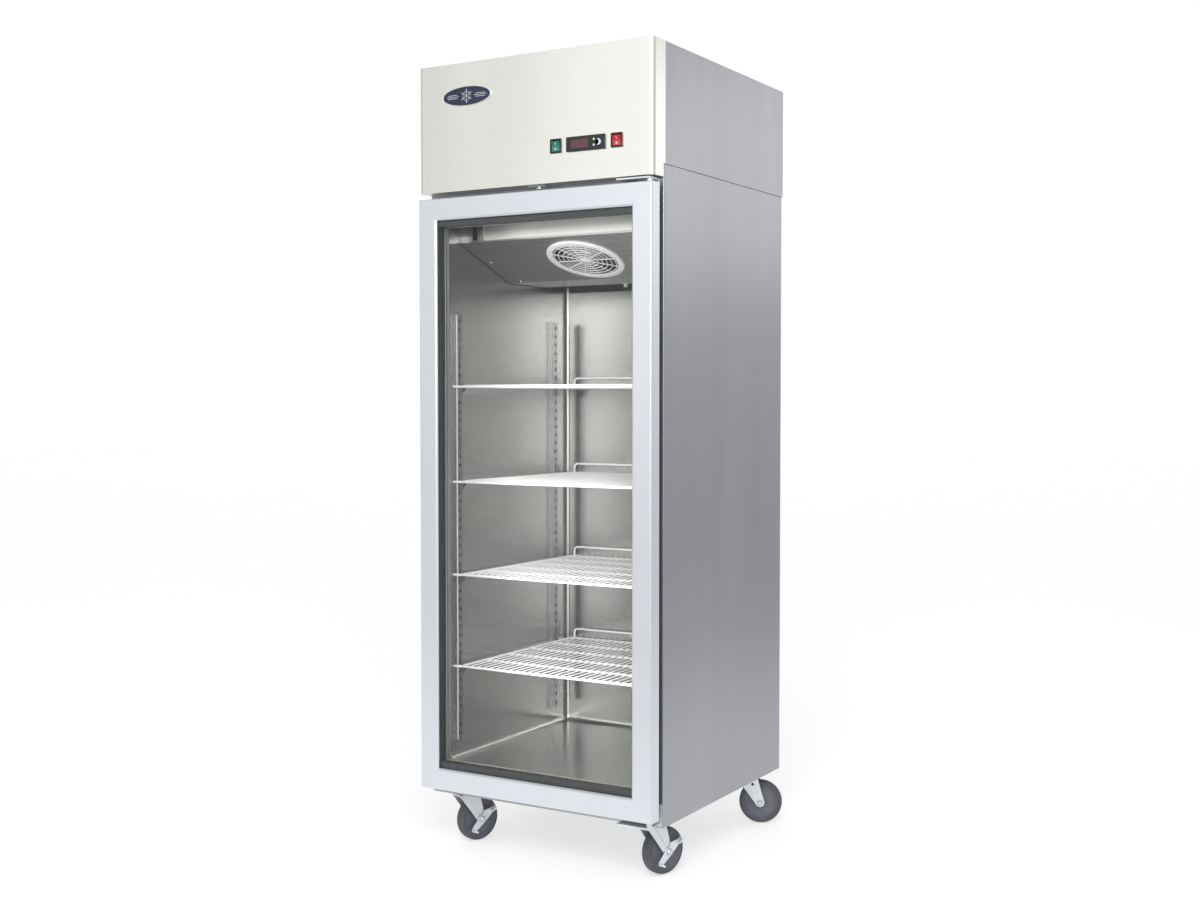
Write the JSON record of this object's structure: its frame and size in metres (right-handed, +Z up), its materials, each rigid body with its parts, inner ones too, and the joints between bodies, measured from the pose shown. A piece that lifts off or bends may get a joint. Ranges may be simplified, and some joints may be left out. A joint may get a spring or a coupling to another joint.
{
  "type": "reach-in refrigerator",
  "caption": "Upright stainless reach-in refrigerator with a hinged glass door, wire shelves, a top-mounted condensing unit behind a lift-up control panel, and swivel casters.",
  "frame": {"origin": "on the floor, under the middle of the machine's footprint", "axes": "+Z up, -Y towards the person who opens the door, +X to that person's right (hinge side)"},
  "size_m": [0.7918, 0.798, 2.148],
  "materials": {
    "outer_steel": "satin",
    "header_steel": "satin",
    "door_steel": "satin",
    "inner_steel": "gloss",
    "galvanised_steel": "satin",
    "zinc_steel": "gloss",
    "foam": "matte",
    "dark_plastic": "matte",
    "grey_plastic": "matte",
    "white_plastic": "satin",
    "clear_glass": "polished",
    "display": "gloss",
    "badge_enamel": "gloss",
    "green_plastic": "gloss",
    "red_plastic": "gloss",
    "button_plastic": "gloss",
    "white_wire": "gloss",
    "light_diffuser": "satin",
    "seal_rubber": "matte",
    "wheel_rubber": "matte",
    "fin_aluminium": "satin",
    "copper": "satin",
    "black_enamel": "satin"
  },
  "bodies": {
    "cabinet": {"side_panels": "outer_steel", "back_panel": "galvanised_steel", "base_and_deck_panels": "galvanised_steel", "front_rails": "outer_steel", "insulation": "foam", "inner_liner": "inner_steel", "breaker_frame": "grey_plastic", "upper_side_panels": "outer_steel", "upper_rear_panel": "galvanised_steel", "top_cover": "galvanised_steel", "header_latch": "zinc_steel", "hinge_brackets": "zinc_steel", "shelf_pilasters": "inner_steel", "shelf_clips": "zinc_steel", "evaporator_cover": "inner_steel", "fan_guard": "white_plastic", "fan_motors": "black_enamel", "evaporator_coil": "fin_aluminium", "interior_light": "light_diffuser", "compressor": "black_enamel", "condenser_coil": "fin_aluminium", "fan_shroud": "galvanised_steel", "refrigerant_lines": "copper", "electrical_box": "dark_plastic", "condensate_tray": "galvanised_steel", "caster_plates": "zinc_steel", "caster_bolts": "zinc_steel"},
    "header": {"header_panel": "header_steel", "control_housings": "dark_plastic", "display_window": "display", "badge": "badge_enamel"},
    "door": {"door_stiles": "door_steel", "door_rails": "door_steel", "hinge_bushes": "white_plastic", "glass_panes": "clear_glass", "glass_spacer": "grey_plastic", "glass_retainer": "grey_plastic", "door_gasket": "seal_rubber", "door_handle": "door_steel"},
    "power_rocker": {"power_rocker": "green_plastic"},
    "light_rocker": {"light_rocker": "red_plastic"},
    "up_button": {"up_button": "button_plastic"},
    "down_button": {"down_button": "button_plastic"},
    "set_button": {"set_button": "button_plastic"},
    "evaporator_fan": {"evaporator_fan": "fin_aluminium"},
    "condenser_fan": {"condenser_fan": "fin_aluminium"},
    "shelf_1": {"shelf_1": "white_wire"},
    "shelf_2": {"shelf_2": "white_wire"},
    "shelf_3": {"shelf_3": "white_wire"},
    "shelf_4": {"shelf_4": "white_wire"},
    "caster_fork_front_left": {"caster_fork_front_left": "zinc_steel"},
    "caster_wheel_front_left": {"caster_wheel_front_left": "wheel_rubber"},
    "brake_lever_front_left": {"brake_lever_front_left": "zinc_steel"},
    "caster_fork_front_right": {"caster_fork_front_right": "zinc_steel"},
    "caster_wheel_front_right": {"caster_wheel_front_right": "wheel_rubber"},
    "brake_lever_front_right": {"brake_lever_front_right": "zinc_steel"},
    "caster_fork_rear_left": {"caster_fork_rear_left": "zinc_steel"},
    "caster_wheel_rear_left": {"caster_wheel_rear_left": "wheel_rubber"},
    "caster_fork_rear_right": {"caster_fork_rear_right": "zinc_steel"},
    "caster_wheel_rear_right": {"caster_wheel_rear_right": "wheel_rubber"}
  },
  "joints": [
    {"name": "door_hinge", "type": "hinge", "parent": "cabinet", "child": "door", "pos_m": [0.346, -0.377, 0.982], "axis": [0, 0, 1], "range_deg": [0, 110], "stiffness_Nm_per_rad": 1.5},
    {"name": "header_hinge", "type": "hinge", "parent": "cabinet", "child": "header", "pos_m": [0, -0.3304, 2.148], "axis": [-1, 0, 0], "range_deg": [0, 75]},
    {"name": "power_rocker_pivot", "type": "hinge", "parent": "header", "child": "power_rocker", "pos_m": [0.078, -0.3908, 1.9], "axis": [-1, 0, 0], "range_deg": [0, 14]},
    {"name": "light_rocker_pivot", "type": "hinge", "parent": "header", "child": "light_rocker", "pos_m": [0.26, -0.3908, 1.9], "axis": [-1, 0, 0], "range_deg": [0, 14]},
    {"name": "up_button_press", "type": "slide", "parent": "header", "child": "up_button", "axis": [0, 1, 0], "range_m": [0, 0.001], "stiffness_N_per_m": 400},
    {"name": "down_button_press", "type": "slide", "parent": "header", "child": "down_button", "axis": [0, 1, 0], "range_m": [0, 0.001], "stiffness_N_per_m": 400},
    {"name": "set_button_press", "type": "slide", "parent": "header", "child": "set_button", "axis": [0, 1, 0], "range_m": [0, 0.001], "stiffness_N_per_m": 400},
    {"name": "evaporator_fan_spin", "type": "hinge", "parent": "cabinet", "child": "evaporator_fan", "pos_m": [0.022, -0.14516, 1.65345], "axis": [0, -0.3642, -0.9313], "continuous": true},
    {"name": "condenser_fan_spin", "type": "hinge", "parent": "cabinet", "child": "condenser_fan", "pos_m": [0.11, -0.196, 1.99], "axis": [0, -1, 0], "continuous": true},
    {"name": "shelf_1_lift", "type": "slide", "parent": "cabinet", "child": "shelf_1", "axis": [0, 0, 1], "range_m": [0, 0.05]},
    {"name": "shelf_2_lift", "type": "slide", "parent": "cabinet", "child": "shelf_2", "axis": [0, 0, 1], "range_m": [0, 0.05]},
    {"name": "shelf_3_lift", "type": "slide", "parent": "cabinet", "child": "shelf_3", "axis": [0, 0, 1], "range_m": [0, 0.05]},
    {"name": "shelf_4_lift", "type": "slide", "parent": "cabinet", "child": "shelf_4", "axis": [0, 0, 1], "range_m": [0, 0.05]},
    {"name": "caster_swivel_front_left", "type": "hinge", "parent": "cabinet", "child": "caster_fork_front_left", "pos_m": [-0.298, -0.277, 0.135], "axis": [0, 0, 1], "continuous": true},
    {"name": "caster_roll_front_left", "type": "hinge", "parent": "caster_fork_front_left", "child": "caster_wheel_front_left", "pos_m": [-0.285, -0.24129, 0.0625], "axis": [0.9397, -0.342, 0], "continuous": true},
    {"name": "brake_pivot_front_left", "type": "hinge", "parent": "caster_fork_front_left", "child": "brake_lever_front_left", "pos_m": [-0.285, -0.24129, 0.0625], "axis": [0.9397, -0.342, 0], "range_deg": [0, 18]},
    {"name": "caster_swivel_front_right", "type": "hinge", "parent": "cabinet", "child": "caster_fork_front_right", "pos_m": [0.298, -0.277, 0.135], "axis": [0, 0, 1], "continuous": true},
    {"name": "caster_roll_front_right", "type": "hinge", "parent": "caster_fork_front_right", "child": "caster_wheel_front_right", "pos_m": [0.311, -0.24129, 0.0625], "axis": [0.9397, -0.342, 0], "continuous": true},
    {"name": "brake_pivot_front_right", "type": "hinge", "parent": "caster_fork_front_right", "child": "brake_lever_front_right", "pos_m": [0.311, -0.24129, 0.0625], "axis": [0.9397, -0.342, 0], "range_deg": [0, 18]},
    {"name": "caster_swivel_rear_left", "type": "hinge", "parent": "cabinet", "child": "caster_fork_rear_left", "pos_m": [-0.298, 0.314, 0.135], "axis": [0, 0, 1], "continuous": true},
    {"name": "caster_roll_rear_left", "type": "hinge", "parent": "caster_fork_rear_left", "child": "caster_wheel_rear_left", "pos_m": [-0.33371, 0.327, 0.0625], "axis": [0.342, 0.9397, 0], "continuous": true},
    {"name": "caster_swivel_rear_right", "type": "hinge", "parent": "cabinet", "child": "caster_fork_rear_right", "pos_m": [0.298, 0.314, 0.135], "axis": [0, 0, 1], "continuous": true},
    {"name": "caster_roll_rear_right", "type": "hinge", "parent": "caster_fork_rear_right", "child": "caster_wheel_rear_right", "pos_m": [0.33371, 0.327, 0.0625], "axis": [0.342, -0.9397, 0], "continuous": true}
  ]
}
